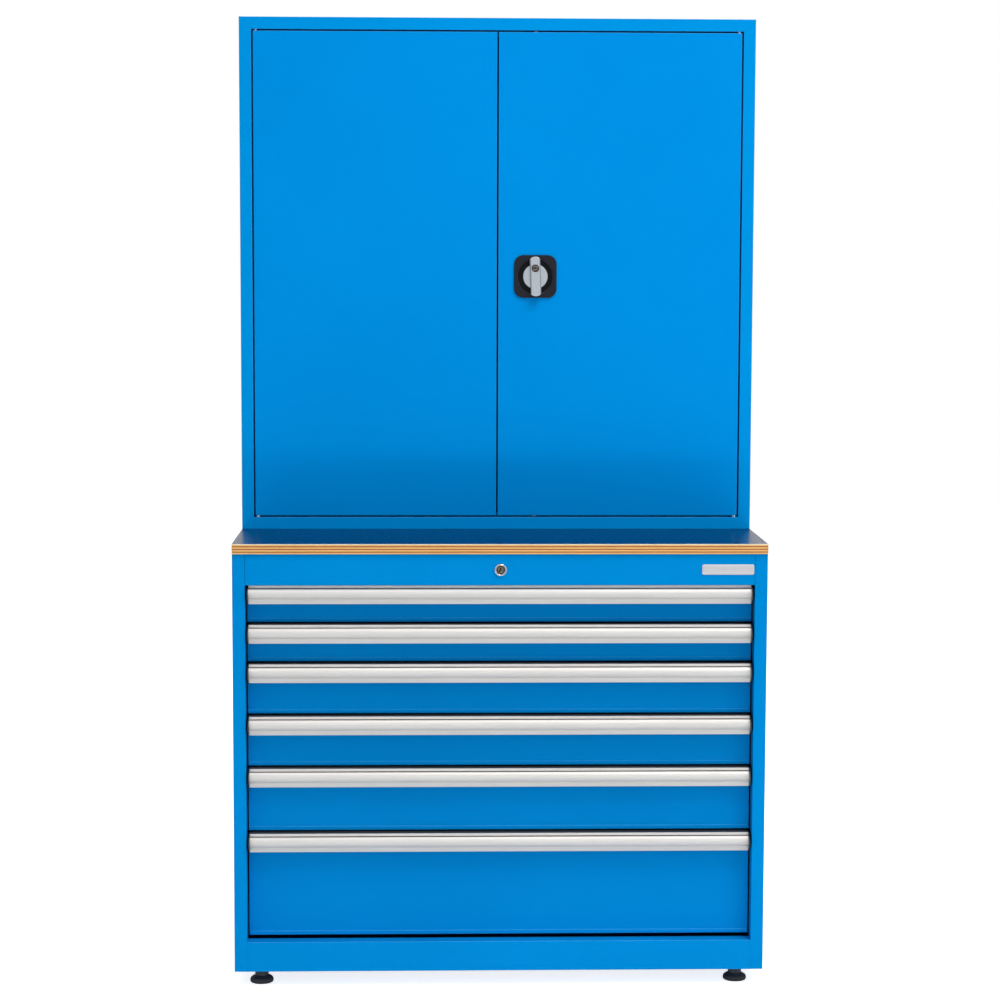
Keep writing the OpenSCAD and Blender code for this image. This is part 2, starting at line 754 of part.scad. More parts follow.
module drawer_box(k) {
    color(blue_front) in_base() {
        drawer_front(k);
        drawer_tray(k);
    }
}

// Section of the handle extrusion: (y, z) with z = 0 at its top edge
module handle_section() {
    bow = [6.5, 25];                          // upper and lower edge of the bowed face
    bow_in = 4.5;                             // how far the bow's edges lie behind its crown
    half = (bow[1] - bow[0]) / 2;
    r = (half * half + bow_in * bow_in) / (2 * bow_in);
    a = asin(half / r);
    c = [handle_back + r, -(bow[0] + bow[1]) / 2];
    neck = lip_back + 5.4;                    // back of the slot under the top edge
    low_y = handle_back + 9.5;
    polygon(concat(
        [[lip_back, 0], [web_end, 0], [web_end, -web_t], [post_d, -web_t], [post_d, -leg_h],
         [post_d - leg_t, -leg_h], [post_d - leg_t, -web_t], [neck + handle_t, -web_t],
         [neck + handle_t, -bow[0] - handle_t]],
        arc(c, r - handle_t, 180 - a + 4, 180 + a - 4, 8),
        [[low_y - 1, -bow[1] - 2], [low_y + handle_t - 2, -bow[1] - 4], [low_y + handle_t, -handle_h],
         [low_y, -handle_h], [low_y - 2.5, -bow[1] - 3], [low_y - 3.5, -bow[1] - 1]],
        arc(c, r, 180 + a, 180 - a, 12),
        [[neck, -bow[0]], [neck, -web_t], [lip_back + 2.4, -web_t], [lip_back + 2.4, -bow[0] + 1.5],
         [lip_back, -bow[0] + 1.5]]));
}

module drawer_handle(k) {
    color(alu) in_base() translate([0, 0, drawer_top(k)]) along_x(-handle_x, handle_x) handle_section();
}

module drawer_caps(k) {
    r = handle_h / 2;
    color(black) in_base() translate([0, 0, drawer_top(k)]) both_sides()
        along_x(handle_x, handle_x + cap_t) {
            translate([r - proud, -r]) circle(r = r);
            translate([r - proud, -2 * r]) square([post_d - r + proud, 2 * r]);
        }
}

// Inner members, riveted to the tray's sides
module drawer_runners(k) {
    color(zinc) in_base() both_sides() translate([0, 0, slide_z(k)])
        along_y(rail_y0 - 8, rail_y1 - 10) channel(tray_x, tray_x + race_t, tray_x + 11, inner_h, race_t);
}

// Middle members and their ball cages
module drawer_carriage(k) {
    mid_y = (rail_y0 + rail_y1) / 2;
    cage = fixed_h - member_t - middle_h - 2 * run_fit;
    color(zinc) in_base() both_sides() translate([0, 0, slide_z(k)]) {
        along_y(rail_y0, rail_y1 - 6)
            channel(middle_x, middle_x - race_t, tray_x + 4, middle_h, race_t);
        for (s = [0, 1]) mirror([0, 0, s]) {
            block([tray_x + 6, mid_y, middle_h - race_t / 2], [middle_x - 2, rail_y1 - 6, middle_h + cage]);
            block([tray_x + 5, rail_y0, inner_h + 2 * run_fit], [middle_x - 4, mid_y, middle_h - race_t / 2]);
        }
    }
}

base_side(true);  // base_side_left
base_side(false);  // base_side_right
base_back_panel();
base_floor_pan();
base_top_rail();
slotted_uprights();
drawer_rails();
worktop_board();
worktop_laminate();
fasteners();
lock_ring();
drawer_lock();
locking_bar();
foot(-foot_x, foot_y[0]);  // foot_front_left
foot(foot_x, foot_y[0]);  // foot_front_right
foot(-foot_x, foot_y[1]);  // foot_rear_left
foot(foot_x, foot_y[1]);  // foot_rear_right
cabinet_side(true);  // cabinet_side_left
cabinet_side(false);  // cabinet_side_right
cabinet_top();
cabinet_bottom();
cabinet_back();
shelves();
hinge_pins();
door_left();
door_right();
handle_plate();
turn_handle();
rod_top();
rod_bottom();
for (k = [1 : drawers]) {
    drawer_box(k);
    drawer_handle(k);
    drawer_caps(k);
    drawer_runners(k);
    drawer_carriage(k);
}
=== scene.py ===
# Looks of the tool cabinet: camera, light, floor, finishes, and the fine pieces that the
# frame doesn't hold.
import math

import bmesh
import bpy
from mathutils import Matrix, Vector


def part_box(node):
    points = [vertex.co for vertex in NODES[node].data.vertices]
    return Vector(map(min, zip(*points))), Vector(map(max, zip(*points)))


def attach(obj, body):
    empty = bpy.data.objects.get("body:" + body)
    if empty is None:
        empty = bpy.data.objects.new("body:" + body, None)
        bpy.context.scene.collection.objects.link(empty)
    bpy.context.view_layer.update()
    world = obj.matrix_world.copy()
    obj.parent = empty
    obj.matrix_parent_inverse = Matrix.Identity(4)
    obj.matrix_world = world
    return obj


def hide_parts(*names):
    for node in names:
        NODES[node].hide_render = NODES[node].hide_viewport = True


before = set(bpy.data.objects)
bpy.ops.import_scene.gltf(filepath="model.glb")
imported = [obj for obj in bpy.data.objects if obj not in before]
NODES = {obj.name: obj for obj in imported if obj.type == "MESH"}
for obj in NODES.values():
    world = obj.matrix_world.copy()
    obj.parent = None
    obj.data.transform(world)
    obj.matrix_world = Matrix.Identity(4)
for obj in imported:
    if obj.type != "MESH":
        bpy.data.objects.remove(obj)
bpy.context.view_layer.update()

MM = 0.001
DRAWERS = range(1, 7)
FEET = ("foot_front_left", "foot_front_right", "foot_rear_left", "foot_rear_right")
WHITE = (1, 1, 1, 1)
COOL = (0.88, 0.95, 1.0)                # the side fills are a little cooler than the key
MIRROR_RAYS = ("Is Glossy Ray", "Is Transmission Ray")
SPREAD = (0.3, 0.7)                     # nearly all of a noise's values lie between these
NARROW = (0.35, 0.65)                   # the same, cut closer for more contrast


# ---- Small helpers ----

def srgb(r, g, b):
    """8-bit display values as a linear colour."""
    def linear(v):
        v /= 255.0
        return v / 12.92 if v <= 0.04045 else ((v + 0.055) / 1.055) ** 2.4
    return (linear(r), linear(g), linear(b), 1.0)


def scaled(color, factor):
    """A colour made darker or lighter."""
    return tuple(c * factor for c in color[:3]) + (1,)


def node_box(name):
    """The lowest and highest corner of one of the frame's nodes."""
    low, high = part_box(name)
    return Vector(low), Vector(high)


def middle(low, high):
    """The middle of a box."""
    return (low + high) / 2


class Graph:
    """A short way to build a node tree. Each value is a number, a colour or a socket."""

    def __init__(self, tree):
        self.tree = tree

    def feed(self, sink, value):
        """Link a socket into sink, or set a plain value on it."""
        if isinstance(value, bpy.types.NodeSocket):
            self.tree.links.new(value, sink)
        else:
            sink.default_value = value

    def add(self, kind, **values):
        """A new node, with its properties and named inputs set."""
        node = self.tree.nodes.new(kind)
        for key, value in values.items():
            if hasattr(node, key):
                setattr(node, key, value)
            else:
                self.feed(node.inputs[key], value)
        return node

    def math(self, operation, *values):
        node = self.add("ShaderNodeMath", operation=operation)
        for sink, value in zip(node.inputs, values):
            self.feed(sink, value)
        return node.outputs[0]

    def vector_math(self, operation, *values, output="Vector"):
        node = self.add("ShaderNodeVectorMath", operation=operation)
        for sink, value in zip(node.inputs, values):
            self.feed(sink, value)
        return node.outputs[output]

    def axis(self, vector, letter):
        return self.add("ShaderNodeSeparateXYZ", Vector=vector).outputs[letter]

    def ranged(self, source, low, high, from_low=0.0, from_high=1.0):
        """Source taken from one span to the span from low to high, and kept within it."""
        ends = {"From Min": from_low, "From Max": from_high, "To Min": low, "To Max": high}
        return self.add("ShaderNodeMapRange", Value=source, **ends).outputs["Result"]

    def ray_kind(self, *names):
        """1 where the light path is of one of the named kinds, else 0."""
        path = self.add("ShaderNodeLightPath")
        total = path.outputs[names[0]]
        for name in names[1:]:
            total = self.math("MAXIMUM", total, path.outputs[name])
        return total


class Surface(Graph):
    """A material and its node tree."""

    SOCKETS = {"color": "Base Color", "metallic": "Metallic", "roughness": "Roughness",
               "specular": "Specular IOR Level", "tint": "Specular Tint",
               "glow": "Emission Strength", "glow_color": "Emission Color"}

    def __init__(self, name):
        self.mat = bpy.data.materials.new(name)
        self.mat.use_nodes = True
        super().__init__(self.mat.node_tree)
        self.shader = self.tree.nodes["Principled BSDF"]
        self.coords = self.add("ShaderNodeTexCoord").outputs["Object"]

    def set(self, **values):
        for key, value in values.items():
            self.feed(self.shader.inputs[self.SOCKETS[key]], value)

    def geometry(self, name):
        return self.add("ShaderNodeNewGeometry").outputs[name]

    def stretched(self, scale):
        """Object coordinates with a scale for each axis, for patterns that run one way."""
        return self.add("ShaderNodeMapping", Scale=scale, Vector=self.coords).outputs["Vector"]

    def noise(self, scale, detail=2.0, vector=None, roughness=0.5):
        vector = self.coords if vector is None else vector
        return self.add("ShaderNodeTexNoise", Scale=scale, Detail=detail, Roughness=roughness,
                        Vector=vector).outputs["Fac"]

    def ramp(self, source, stops):
        node = self.add("ShaderNodeValToRGB", Fac=source)
        elements = node.color_ramp.elements
        while len(elements) < len(stops):
            elements.new(0.5)
        for element, (place, color) in zip(elements, stops):
            element.position = place
            element.color = color
        return node.outputs["Color"]

    def mix(self, factor, a, b):
        """Colour a at factor 0, and b at 1."""
        node = self.add("ShaderNodeMix", data_type="RGBA")
        for place, value in ((0, factor), (6, a), (7, b)):
            self.feed(node.inputs[place], value)
        return node.outputs[2]

    def blend(self, noise, a, b, spread=SPREAD):
        """Colours a and b mixed over the usual values of a noise."""
        return self.mix(self.ranged(noise, 0, 1, *spread), a, b)

    def bevel(self, radius):
        """The surface's normal with its edges softly rounded."""
        return self.add("ShaderNodeBevel", samples=6, Radius=radius).outputs["Normal"]

    def bump(self, height, strength, distance, normal):
        node = self.add("ShaderNodeBump", Height=height, Strength=strength, Distance=distance,
                        Normal=normal)
        self.feed(self.shader.inputs["Normal"], node.outputs["Normal"])


# ---- Materials ----

def joint_mark(n, rise, middle_z, reach):
    """1 along the frame's flush joints, where |x| = rise * |z - middle_z| + reach, else 0."""
    folded = n.vector_math("ABSOLUTE", n.vector_math("SUBTRACT", n.coords, (0, 0, middle_z)))
    line = n.vector_math("DOT_PRODUCT", folded, (-1, 0, rise), output="Value")
    gap = n.math("ABSOLUTE", n.math("ADD", line, reach))
    whole, gone = 1.6 * MM, 2.6 * MM    # how far to each side the mark is whole, and ends
    return n.ranged(gap, 1.0, 0.0, whole, gone)


def powder_coat(name, color, darker, joint=None):
    """Satin powder coat: fine orange peel, uneven gloss, and a painted highlight along the
    folds, strongest along those that face up, where the light from above falls.

    A flush joint of two sheets, given as for joint_mark, is a slightly darker line instead."""
    n = Surface(name)
    # lighter is the painted highlight's share where a fold is strongest; upward_gain is how much
    # more the upward folds get
    edge_radius, lighter, upward_gain = 1.2 * MM, 0.35, 2.2
    soft = n.bevel(edge_radius)
    flatness = n.vector_math("DOT_PRODUCT", soft, n.geometry("Normal"), output="Value")
    # painted highlight: lighter colour where the rounded normal leans from the flat one, most where
    # it turns up to the light
    fold = n.math("MULTIPLY", n.ranged(flatness, lighter, 0.0, 0.80, 0.985),
                  n.ranged(n.axis(soft, "Z"), 1.0, upward_gain, 0.15, 0.5))
    # the painted highlight's colour, which turns a darker blue along a flush joint
    painted_highlight = srgb(120, 196, 245)
    if joint:
        painted_highlight = n.mix(joint_mark(n, *joint), painted_highlight, srgb(0, 108, 182))
    n.set(color=n.mix(fold, n.blend(n.noise(2.2, 3.0), darker, color), painted_highlight),
          roughness=n.ranged(n.noise(9.0, 4.0), 0.33, 0.44, *SPREAD),
          specular=0.24, tint=(0.02, 0.50, 1.0, 1))
    n.bump(n.noise(520.0, 1.5), 0.10, 0.2 * MM, soft)
    return n.mat


def anodised(name):
    """Satin anodised extrusion with faint die lines, and painted shade on top where it meets the
    front.
    """
    n = Surface(name)
    color, shade_color = (0.68, 0.648, 0.63, 1), (0.012, 0.018, 0.025, 1)
    unshaded_to, full_shade_from, strength = -0.3585, -0.352, 0.94      # the first two are places along y
    lines = n.noise(1.0, vector=n.stretched((0.02, 420.0, 420.0)))
    streaks = n.noise(1.0, vector=n.stretched((4.0, 60.0, 60.0)))
    # painted shade: the top faces darken towards their back, next to the dark gap under the front
    # above
    behind = n.ranged(n.axis(n.coords, "Y"), 0.0, strength, unshaded_to, full_shade_from)
    upward = n.ranged(n.axis(n.geometry("True Normal"), "Z"), 0.0, 1.0, 0.5, 0.85)
    n.set(color=n.mix(n.math("MULTIPLY", behind, upward),
                      n.blend(lines, scaled(color, 0.96), color, NARROW), shade_color),
          roughness=n.ranged(streaks, 0.60, 0.70, *SPREAD), metallic=0.60, specular=0.3)
    n.bump(lines, 0.012, 0.05 * MM, n.bevel(0.7 * MM))
    return n.mat


def zinc_plate(name, painted_shade_to=None):
    """Zinc plated steel with a faint spangle; black painted shade in front of a given y, if any."""
    n = Surface(name)
    grey, black, fade = (0.55, 0.56, 0.58, 1), (0.006, 0.006, 0.007, 1), 0.2 * MM
    spangle = n.add("ShaderNodeTexVoronoi", Scale=90.0, Vector=n.coords).outputs["Color"]
    cloud = n.noise(30.0, 3.0)
    face, metal = n.blend(cloud, scaled(grey, 0.86), grey), 1.0
    # painted shade: black in front of the given place along y, for the unlit gaps beside the drawer
    # fronts
    if painted_shade_to is not None:
        metal = n.ranged(n.axis(n.coords, "Y"), 0, 1, painted_shade_to - fade, painted_shade_to + fade)
        face = n.mix(metal, black, face)
    n.set(color=face, metallic=metal, roughness=n.ranged(spangle, 0.34, 0.50))
    n.bump(cloud, 0.04, 0.2 * MM, n.bevel(0.4 * MM))
    return n.mat


def moulded_black(name, color, roughness, specular):
    """Black plastic or rubber with a fine moulded grain and uneven gloss."""
    n = Surface(name)
    grain = n.noise(900.0)
    n.set(color=n.blend(grain, color, scaled(color, 1.6)), specular=specular,
          roughness=n.ranged(n.noise(25.0, 3.0), roughness - 0.06, roughness + 0.08, *SPREAD))
    n.bump(grain, 0.12, 0.15 * MM, n.bevel(0.8 * MM))
    return n.mat


def plate_black(name, centre, radius):
    """Satin black moulding whose dished middle is deep glossy black inside a painted highlight rim.
    """
    n = Surface(name)
    flat = n.vector_math("MULTIPLY_ADD", n.coords, (1, 0, 1), (-centre.x, 0, -centre.z))
    reach = n.vector_math("LENGTH", flat, output="Value")
    margin = 5 * MM                     # the ramp below runs over this much on both sides
    share = n.ranged(reach, 0.0, 1.0, radius - margin, radius + margin)
    # the paler rim just inside the dish's edge is a painted highlight, where that edge would catch
    # the light
    deep, rim, face = (0.0012, 0.0012, 0.002, 1), (0.05, 0.05, 0.06, 1), (0.0135, 0.0125, 0.0185, 1)
    stops = [(0.0, deep), (0.33, deep), (0.38, rim), (0.50, rim), (0.54, face), (1.0, face)]
    grain = n.noise(900.0)
    n.set(color=n.ramp(share, stops), roughness=n.ranged(grain, 0.30, 0.42, *SPREAD),
          specular=0.14)
    n.bump(grain, 0.10, 0.15 * MM, n.bevel(0.8 * MM))
    return n.mat


def polished_chrome(name):
    """Bright chrome with faint smears."""
    n = Surface(name)
    smear = n.noise(60.0, 3.0)
    n.set(color=n.mix(smear, (0.55, 0.56, 0.585, 1), (0.64, 0.65, 0.675, 1)), metallic=1.0,
          roughness=n.ranged(smear, 0.06, 0.16, *SPREAD))
    n.bump(smear, 0.02, 0.1 * MM, n.bevel(0.8 * MM))
    return n.mat


def cast_silver(name):
    """Satin die-cast grip: sand-like grain under a dull plating."""
    n = Surface(name)
    grain = n.noise(1400.0, 3.0)
    n.set(color=n.blend(grain, (0.32, 0.325, 0.335, 1), (0.60, 0.605, 0.615, 1)),
          roughness=n.ranged(grain, 0.30, 0.46), metallic=0.92)
    n.bump(grain, 0.22, 0.1 * MM, n.bevel(1.2 * MM))
    return n.mat


def plywood(name, low_z, high_z):
    """Lacquered plywood edge: pale plies cut along the grain between narrow dark ones across it."""
    n = Surface(name)
    light, dark, glue = srgb(233, 182, 109), srgb(172, 94, 50), srgb(146, 78, 40)
    dark_plies = 3
    # distance, half thickness and soft edge of the dark plies, as shares of the board's height
    step, half, soft = 1 / (dark_plies + 0.5), 0.055, 0.018
    stops = [(0.0, light)]
    for i in range(dark_plies):
        at = (i + 0.75) * step
        stops += [(at - half - soft, light), (at - half, glue), (at - half + soft, dark),
                  (at + half - soft, dark), (at + half, glue), (at + half + soft, light)]
    wobble = n.noise(1.0, 3.0, n.stretched((3.0, 3.0, 0.0)))
    height = n.math("ADD", n.axis(n.coords, "Z"), n.ranged(wobble, -0.2 * MM, 0.2 * MM))
    bands = n.ramp(n.ranged(height, 0.0, 1.0, low_z, high_z), stops)
    fibre = n.noise(1.0, 5.0, n.stretched((10.0, 10.0, 1300.0)), 0.65)
    flecks = n.noise(1.0, 3.0, n.stretched((420.0, 420.0, 900.0)), 0.6)
    tone = n.mix(n.ranged(fibre, 0.0, 0.30, 0.40, 0.78), bands, glue)
    n.set(color=n.mix(n.ranged(flecks, 0.0, 0.20, 0.55, 0.8), tone, dark),
          roughness=n.ranged(fibre, 0.42, 0.6), specular=0.35)
    n.bump(fibre, 0.15, 0.3 * MM, n.bevel(0.8 * MM))
    return n.mat


def laminate(name):
    """Dark blue pressed laminate with a fine pebble; its sawn edges show the pale core."""
    n = Surface(name)
    pebble = n.noise(700.0)
    face = n.blend(n.noise(4.0, 3.0), srgb(0, 27, 68), srgb(0, 32, 78))
    flat = n.ranged(n.math("ABSOLUTE", n.axis(n.geometry("True Normal"), "Z")), 0, 1, 0.4, 0.6)
    n.set(color=n.mix(flat, srgb(238, 236, 226), face), specular=0.29,
          roughness=n.ranged(pebble, 0.20, 0.30, *SPREAD))
    n.bump(pebble, 0.10, 0.12 * MM, n.bevel(0.3 * MM))
    return n.mat


def worn_metal(name, dark, light):
    """Worn brass and steel of a key plug."""
    n = Surface(name)
    wear = n.noise(420.0, 4.0)
    n.set(color=n.blend(wear, dark, light, NARROW), roughness=n.ranged(wear, 0.26, 0.45),
          metallic=1.0)
    n.bump(wear, 0.10, 0.1 * MM, n.bevel(0.2 * MM))
    return n.mat


def keyway_black(name):
    """Dull black of a slot's unlit depth, painted shade, with a faint dusty speckle."""
    n = Surface(name)
    dust = n.noise(900.0)
    n.set(color=n.mix(dust, (0.001, 0.001, 0.001, 1), (0.006, 0.005, 0.005, 1)),
          roughness=n.ranged(dust, 0.7, 0.9), specular=0.1)
    return n.mat


def plate_metal(name):
    """Brushed satin metal of the bare plate."""
    n = Surface(name)
    brush = n.noise(1.0, 4.0, n.stretched((6.0, 1.0, 2500.0)), 0.6)
    n.set(color=n.blend(brush, srgb(190, 186, 188), srgb(214, 210, 212)),
          roughness=n.ranged(brush, 0.32, 0.48), metallic=0.6)
    n.bump(brush, 0.08, 0.1 * MM, n.bevel(0.4 * MM))
    return n.mat


# The upper cabinet's frame is mitred, so its joints run in from the corners at 45 degrees. The
# housing's joints are upright, at the ends of the lock rail and of the plinth.
shell_low, shell_high = node_box("cabinet_bottom")[0], node_box("cabinet_top")[1]
shell_half = (shell_high.z - shell_low.z) / 2
MITRES = (1, shell_low.z + shell_half, shell_high.x - shell_half)
UPRIGHTS = (0, 0, node_box("base_top_rail")[1].x)

# All four are one blue powder coat. The base, the doors and most of all the drawer fronts get a
# darker colour than the shell: painted shade, deepest on the fronts, which sit recessed under the
# handles.
SHELL = powder_coat("shell_blue", srgb(0, 145, 221), srgb(0, 140, 215), MITRES)
BASE = powder_coat("base_blue", srgb(0, 134, 207), srgb(0, 129, 201), UPRIGHTS)
DOOR = powder_coat("door_blue", srgb(0, 141, 221), srgb(0, 136, 215))
FRONT = powder_coat("front_blue", srgb(0, 127, 201), srgb(0, 122, 195))
ALU = anodised("anodised")
ZINC = zinc_plate("zinc")
# the rails' and uprights' black front ends are painted shade, for the unlit gaps beside the drawer
# fronts
RAIL_ZINC = zinc_plate("zinc_rails", painted_shade_to=-0.290)
PLATE_BLACK = plate_black("black_handle_plate", middle(*node_box("handle_plate")),
                          radius=35.5 * MM)
FOOT = moulded_black("foot_rubber", (0.020, 0.020, 0.025, 1), 0.42, 0.35)
CAP = moulded_black("cap_grey", (0.010, 0.010, 0.012, 1), 0.22, 0.5)
CHROME = polished_chrome("chrome")
BRONZE = worn_metal("key_plug", (0.05, 0.042, 0.036, 1), (0.28, 0.235, 0.20, 1))
DARK_METAL = worn_metal("key_collar", (0.012, 0.011, 0.010, 1), (0.075, 0.066, 0.056, 1))
KEYWAY = keyway_black("keyway")
SILVER = cast_silver("cast_silver")
LAMINATE = laminate("laminate_blue")
board_low, board_high = node_box("worktop_board")
PLY = plywood("plywood_edge", board_low.z, board_high.z)
PLATE = plate_metal("plate_satin")


def dress(mat, *nodes):
    """Put a material on some of the frame's nodes."""
    for node in nodes:
        mesh_object = NODES[node]
        if not mesh_object.material_slots:
            mesh_object.data.materials.append(mat)
        for slot in mesh_object.material_slots:
            slot.link = "OBJECT"
            slot.material = mat


def dress_frame():
    """The finish of every node of the frame."""
    dress(BASE, "base_side_left", "base_side_right", "base_back_panel", "base_floor_pan",
          "base_top_rail")
    dress(SHELL, "cabinet_side_left", "cabinet_side_right", "cabinet_top", "cabinet_bottom",
          "cabinet_back", "shelves")
    dress(DOOR, "door_left", "door_right")
    dress(ZINC, "fasteners", "locking_bar", "hinge_pins", "rod_top", "rod_bottom")
    dress(RAIL_ZINC, "drawer_rails", "slotted_uprights")
    for k in DRAWERS:
        dress(FRONT, f"drawer_{k}_box")
        dress(ALU, f"drawer_{k}_handle")
        dress(CAP, f"drawer_{k}_caps")
        dress(ZINC, f"drawer_{k}_runners", f"drawer_{k}_carriage")
    dress(FOOT, *FEET)
    dress(PLATE_BLACK, "handle_plate")
    dress(SILVER, "turn_handle")
    dress(CHROME, "lock_ring", "drawer_lock")
    dress(PLY, "worktop_board")
    dress(LAMINATE, "worktop_laminate")


# ---- Scene: camera, light, floor ----

def set_camera():
    """The photograph's camera, from a fit to the object's outlines; the sensor is 36 mm wide."""
    place = Vector((-0.1404, -4.9368, 1.3668))
    yaw, pitch, roll = -0.0303, 0.0948, 0.0031
    data = bpy.data.cameras.new("camera")
    data.sensor_width = 36.0
    data.lens = 88.29
    data.clip_end = 100.0
    camera = bpy.data.objects.new("camera", data)
    bpy.context.scene.collection.objects.link(camera)
    aim = (Matrix.Rotation(yaw, 4, "Z") @ Matrix.Rotation(math.pi / 2 - pitch, 4, "X")
           @ Matrix.Rotation(roll, 4, "Z"))
    camera.matrix_world = Matrix.Translation(place) @ aim
    bpy.context.scene.camera = camera


def set_world():
    """White to the camera; to all else soft light, brighter overhead than at the horizon."""
    world = bpy.data.worlds.new("studio")
    bpy.context.scene.world = world
    world.use_nodes = True
    g = Graph(world.node_tree)
    upward = g.axis(g.add("ShaderNodeTexCoord").outputs["Generated"], "Z")

    def light(color, strength):
        return g.add("ShaderNodeBackground", Color=color, Strength=strength).outputs[0]

    def choose(kinds, other, chosen):
        node = g.add("ShaderNodeMixShader", Fac=g.ray_kind(*kinds))
        g.feed(node.inputs[1], other)
        g.feed(node.inputs[2], chosen)
        return node.outputs[0]

    lit = light((*COOL, 1), g.ranged(upward, 0.19, 0.42))
    mirrored = light(WHITE, g.ranged(upward, 0.56, 0.86))
    unseen = choose(MIRROR_RAYS, lit, mirrored)
    g.feed(g.tree.nodes["World Output"].inputs["Surface"],
           choose(("Is Camera Ray",), unseen, light(WHITE, 1.0)))


def add_area(name, place, target, size, power, color=WHITE[:3]):
    """A rectangular lamp at place that faces target."""
    data = bpy.data.lights.new(name, "AREA")
    data.color = color
    data.shape = "RECTANGLE"
    data.size, data.size_y = size
    data.energy = power
    lamp = bpy.data.objects.new(name, data)
    bpy.context.scene.collection.objects.link(lamp)
    lamp.location = place
    aim = Vector(target) - Vector(place)
    lamp.rotation_euler = aim.to_track_quat("-Z", "Y").to_euler()
    return lamp


def set_lights():
    """A soft key from the upper right, weak fills at the sides and in front, one lamp behind."""
    add_area("key_upper_right", (1.5, -2.2, 5.2), (0.05, -0.2, 1.0), (2.4, 2.0), 196,
             (1.0, 0.98, 0.945))
    add_area("fill_front", (0.0, -3.8, 1.5), (0, 0, 1.1), (2.0, 1.2), 9, (0.62, 0.84, 1.0))
    add_area("fill_right", (3.2, -2.6, 1.7), (0, 0, 0.9), (1.6, 2.6), 22, COOL)
    add_area("fill_left", (-3.4, -2.4, 1.5), (0, 0, 0.8), (1.6, 2.6), 8, COOL)
    low = add_area("fill_low", (0.0, -1.7, 0.14), (0, -0.3, 0.12), (2.6, 0.2), 6.5,
                   (0.9, 1.0, 0.96))
    low.visible_glossy = False
    add_area("rear_rim", (0.0, 3.4, 3.0), (0, 0.3, 1.0), (3.0, 1.5), 60)


def add_floor():
    """Pale floor that reads as white to the camera and still takes the object's shadow."""
    reach = 9.0
    seen, mirrored = 0.80, 0.22         # its glow to the camera, and to gloss and glass
    mesh = bpy.data.meshes.new("floor")
    corners = [(-reach, -reach, 0), (reach, -reach, 0), (reach, reach, 0), (-reach, reach, 0)]
    mesh.from_pydata(corners, [], [(0, 1, 2, 3)])
    floor = bpy.data.objects.new("floor", mesh)
    bpy.context.scene.collection.objects.link(floor)
    n = Surface("pale_floor")
    glow = n.math("MULTIPLY_ADD", n.ray_kind("Is Camera Ray"), seen,
                  n.math("MULTIPLY", n.ray_kind(*MIRROR_RAYS), mirrored))
    n.set(color=(0.82, 0.82, 0.82, 1), roughness=0.7, specular=0.2, glow_color=WHITE, glow=glow)
    mesh.materials.append(n.mat)


# ---- Fine pieces ----

def new_piece(name, bm, mat, body, smooth):
    """A piece from a bmesh, smooth where its faces meet at less than so many degrees."""
    mesh = bpy.data.meshes.new(name)
    bm.to_mesh(mesh)
    bm.free()
    mesh.materials.append(mat)
    piece = bpy.data.objects.new(name, mesh)
    bpy.context.scene.collection.objects.link(piece)
    mesh.shade_smooth()
    mesh.set_sharp_from_angle(angle=math.radians(smooth))
    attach(piece, body)
    return piece


def around(steps):
    """Evenly spaced angles of a full turn."""
    return [2 * math.pi * i / steps for i in range(steps)]


def rounded_outline(width, height, radius, steps=8):
    """Points of a rounded rectangle about the middle, counter-clockwise."""
    points = []
    for quarter, (sx, sz) in enumerate(((1, 1), (-1, 1), (-1, -1), (1, -1))):
        cx, cz = sx * (width / 2 - radius), sz * (height / 2 - radius)
        for i in range(steps + 1):
            a = math.radians(90 * (quarter + i / steps))
            points.append((cx + radius * math.cos(a), cz + radius * math.sin(a)))
    return points


def skin_rings(bm, rings):
    """A closed solid through rings of points, capped at both ends."""
    loops = [[bm.verts.new(point) for point in ring] for ring in rings]
    count = len(loops[0])
    for a, b in zip(loops, loops[1:]):
        for i in range(count):
            bm.faces.new((a[i], a[(i + 1) % count], b[(i + 1) % count], b[i]))
    bm.faces.new(list(reversed(loops[0])))
    bm.faces.new(loops[-1])


def from_rings(*solids):
    """A bmesh of closed solids, each through its own rings."""
    bm = bmesh.new()
    for rings in solids:
        skin_rings(bm, rings)
    bmesh.ops.recalc_face_normals(bm, faces=bm.faces)
    return bm


def turned_ring(profile, centre):
    """A ring turned about an axis along y, through a closed profile of (radius, y)."""
    steps = 96
    bm = bmesh.new()
    loops = [[bm.verts.new((centre.x + r * math.cos(a), y, centre.z + r * math.sin(a)))
              for r, y in profile] for a in around(steps)]
    for i in range(steps):
        a, b = loops[i], loops[(i + 1) % steps]
        for j in range(len(profile)):
            k = (j + 1) % len(profile)
            bm.faces.new((a[j], a[k], b[k], b[j]))
    bmesh.ops.recalc_face_normals(bm, faces=bm.faces)
    return bm


def add_bare_plate():
    """The small plate at the right of the lock rail, left bare."""
    width, height, radius = 98.5 * MM, 19.5 * MM, 3.2 * MM
    thick, soft = 1.4 * MM, 0.5 * MM
    centre_x, centre_z = 428.8 * MM, 800.3 * MM
    face = node_box("base_top_rail")[0].y
    steps = [(0, face), (0, face - thick + soft), (soft * 0.3, face - thick + soft * 0.3),
             (soft, face - thick)]
    rings = []
    for inset, y in steps:
        outline = rounded_outline(width - 2 * inset, height - 2 * inset, radius - inset)
        rings.append([(centre_x + x, y, centre_z + z) for x, z in outline])
    new_piece("bare_plate", from_rings(rings), PLATE, "housing", 40)


def add_turned(name, profile, front, centre, mat, body):
    """A lock's turned piece. Its profile is (radius, y) in mm, with y counted from front."""
    steps = 72
    rings = [[(centre.x + r * MM * math.cos(a), front + y * MM, centre.z + r * MM * math.sin(a))
              for a in around(steps)] for r, y in profile]
    new_piece(name, from_rings(rings), mat, body, 25)


